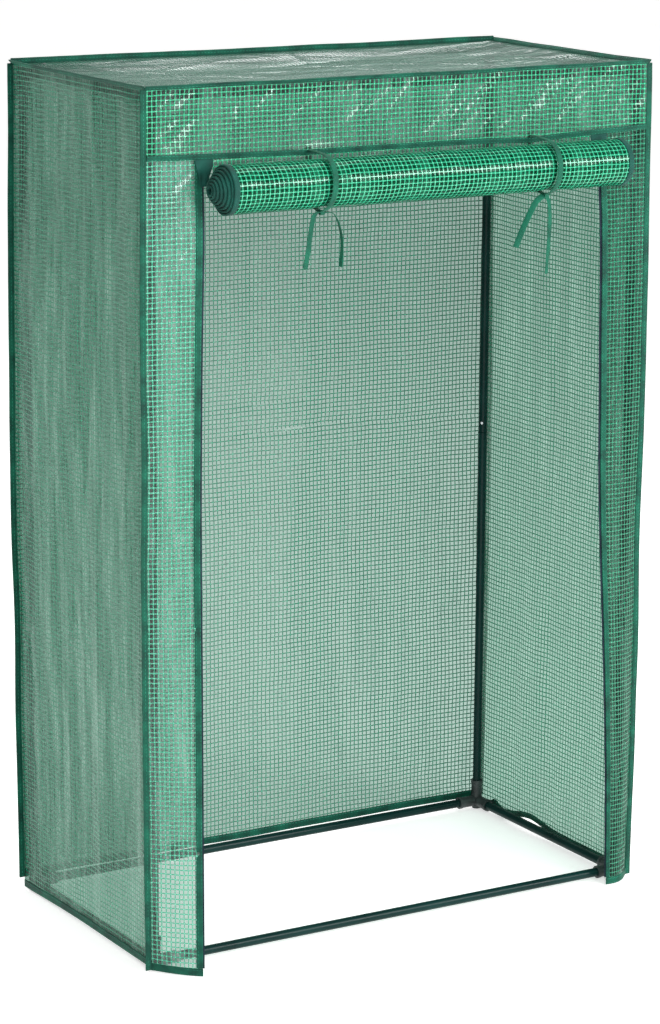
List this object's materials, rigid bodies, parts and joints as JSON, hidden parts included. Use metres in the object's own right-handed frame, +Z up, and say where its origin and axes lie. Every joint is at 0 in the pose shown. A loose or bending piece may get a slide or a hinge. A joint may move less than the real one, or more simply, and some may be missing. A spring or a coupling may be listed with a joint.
{
  "type": "walk-up tomato greenhouse",
  "caption": "Free-standing plant house: a push-fit tube frame under a sewn grid-film cover, with an open base and a front door panel rolled up and tied.",
  "frame": {"origin": "on the ground, in the middle of the object's outline seen from above, the rolled door included", "axes": "+Z up, -Y out of the door, +X to the right of someone who looks in through the door"},
  "size_m": [1.0002, 0.5876, 1.5],
  "materials": {
    "tube": "glossy dark green powder coat",
    "connector": "moulded, slightly worn",
    "button": "bright zinc plate",
    "film": "glossy hazy film with a green grid of reinforcing threads",
    "binding": "woven tape, sewn",
    "fastener": "hook and loop tape",
    "side_tape": "woven tape, sewn",
    "tie": "woven tape"
  },
  "bodies": {
    "greenhouse": {"back_hem_tape": "binding", "back_panel": "film", "base_corner_back_left": "connector", "base_corner_back_right": "connector", "base_corner_front_left": "connector", "base_corner_front_right": "connector", "base_tube_back": "tube", "base_tube_front": "tube", "base_tube_left": "tube", "base_tube_right": "tube", "corner_piping_back_left": "binding", "corner_piping_back_right": "binding", "corner_piping_front_left": "binding", "corner_piping_front_right": "binding", "front_seam_piping": "binding", "front_top_panel": "film", "left_fastener_tape": "fastener", "left_front_strip": "film", "left_hem_tape": "binding", "left_side_panel": "film", "left_strip_edge_tape": "binding", "left_strip_hem_tape": "binding", "left_tie_back": "tie", "left_tie_front": "tie", "lower_upright_back_left": "tube", "lower_upright_back_right": "tube", "lower_upright_front_left": "tube", "lower_upright_front_right": "tube", "right_fastener_tape": "fastener", "right_front_strip": "film", "right_hem_tape": "binding", "right_side_panel": "film", "right_strip_edge_tape": "binding", "right_strip_hem_tape": "binding", "right_tie_back": "tie", "right_tie_front": "tie", "roof_panel": "film", "roof_piping_back": "binding", "roof_piping_front": "binding", "roof_piping_left": "binding", "roof_piping_right": "binding", "snap_buttons": "button", "top_corner_back_left": "connector", "top_corner_back_right": "connector", "top_corner_front_left": "connector", "top_corner_front_right": "connector", "top_tube_back": "tube", "top_tube_front": "tube", "top_tube_left": "tube", "top_tube_right": "tube", "upper_upright_back_left": "tube", "upper_upright_back_right": "tube", "upper_upright_front_left": "tube", "upper_upright_front_right": "tube"},
    "door_carriage": {"door_head": "film", "door_head_tapes": "side_tape"},
    "door_roll": {"door_roll": "film", "door_left_edge_tape": "side_tape", "door_right_edge_tape": "side_tape"}
  },
  "joints": [
    {"name": "door_lower", "type": "slide", "parent": "greenhouse", "child": "door_carriage", "axis": [0, 0, -1], "range_m": [0, 1.27], "deforming": ["door_head", "door_head_tapes", "left_tie_front", "left_tie_back", "right_tie_front", "right_tie_back"]},
    {"name": "roll_turn", "type": "hinge", "parent": "door_carriage", "child": "door_roll", "pos_m": [0, -0.2475, 1.3314], "axis": [1, 0, 0], "range_deg": [0, 2880]}
  ],
  "couplings": [
    {"joint": "roll_turn", "follows": "door_lower", "rad_per_m": 39.579}
  ]
}
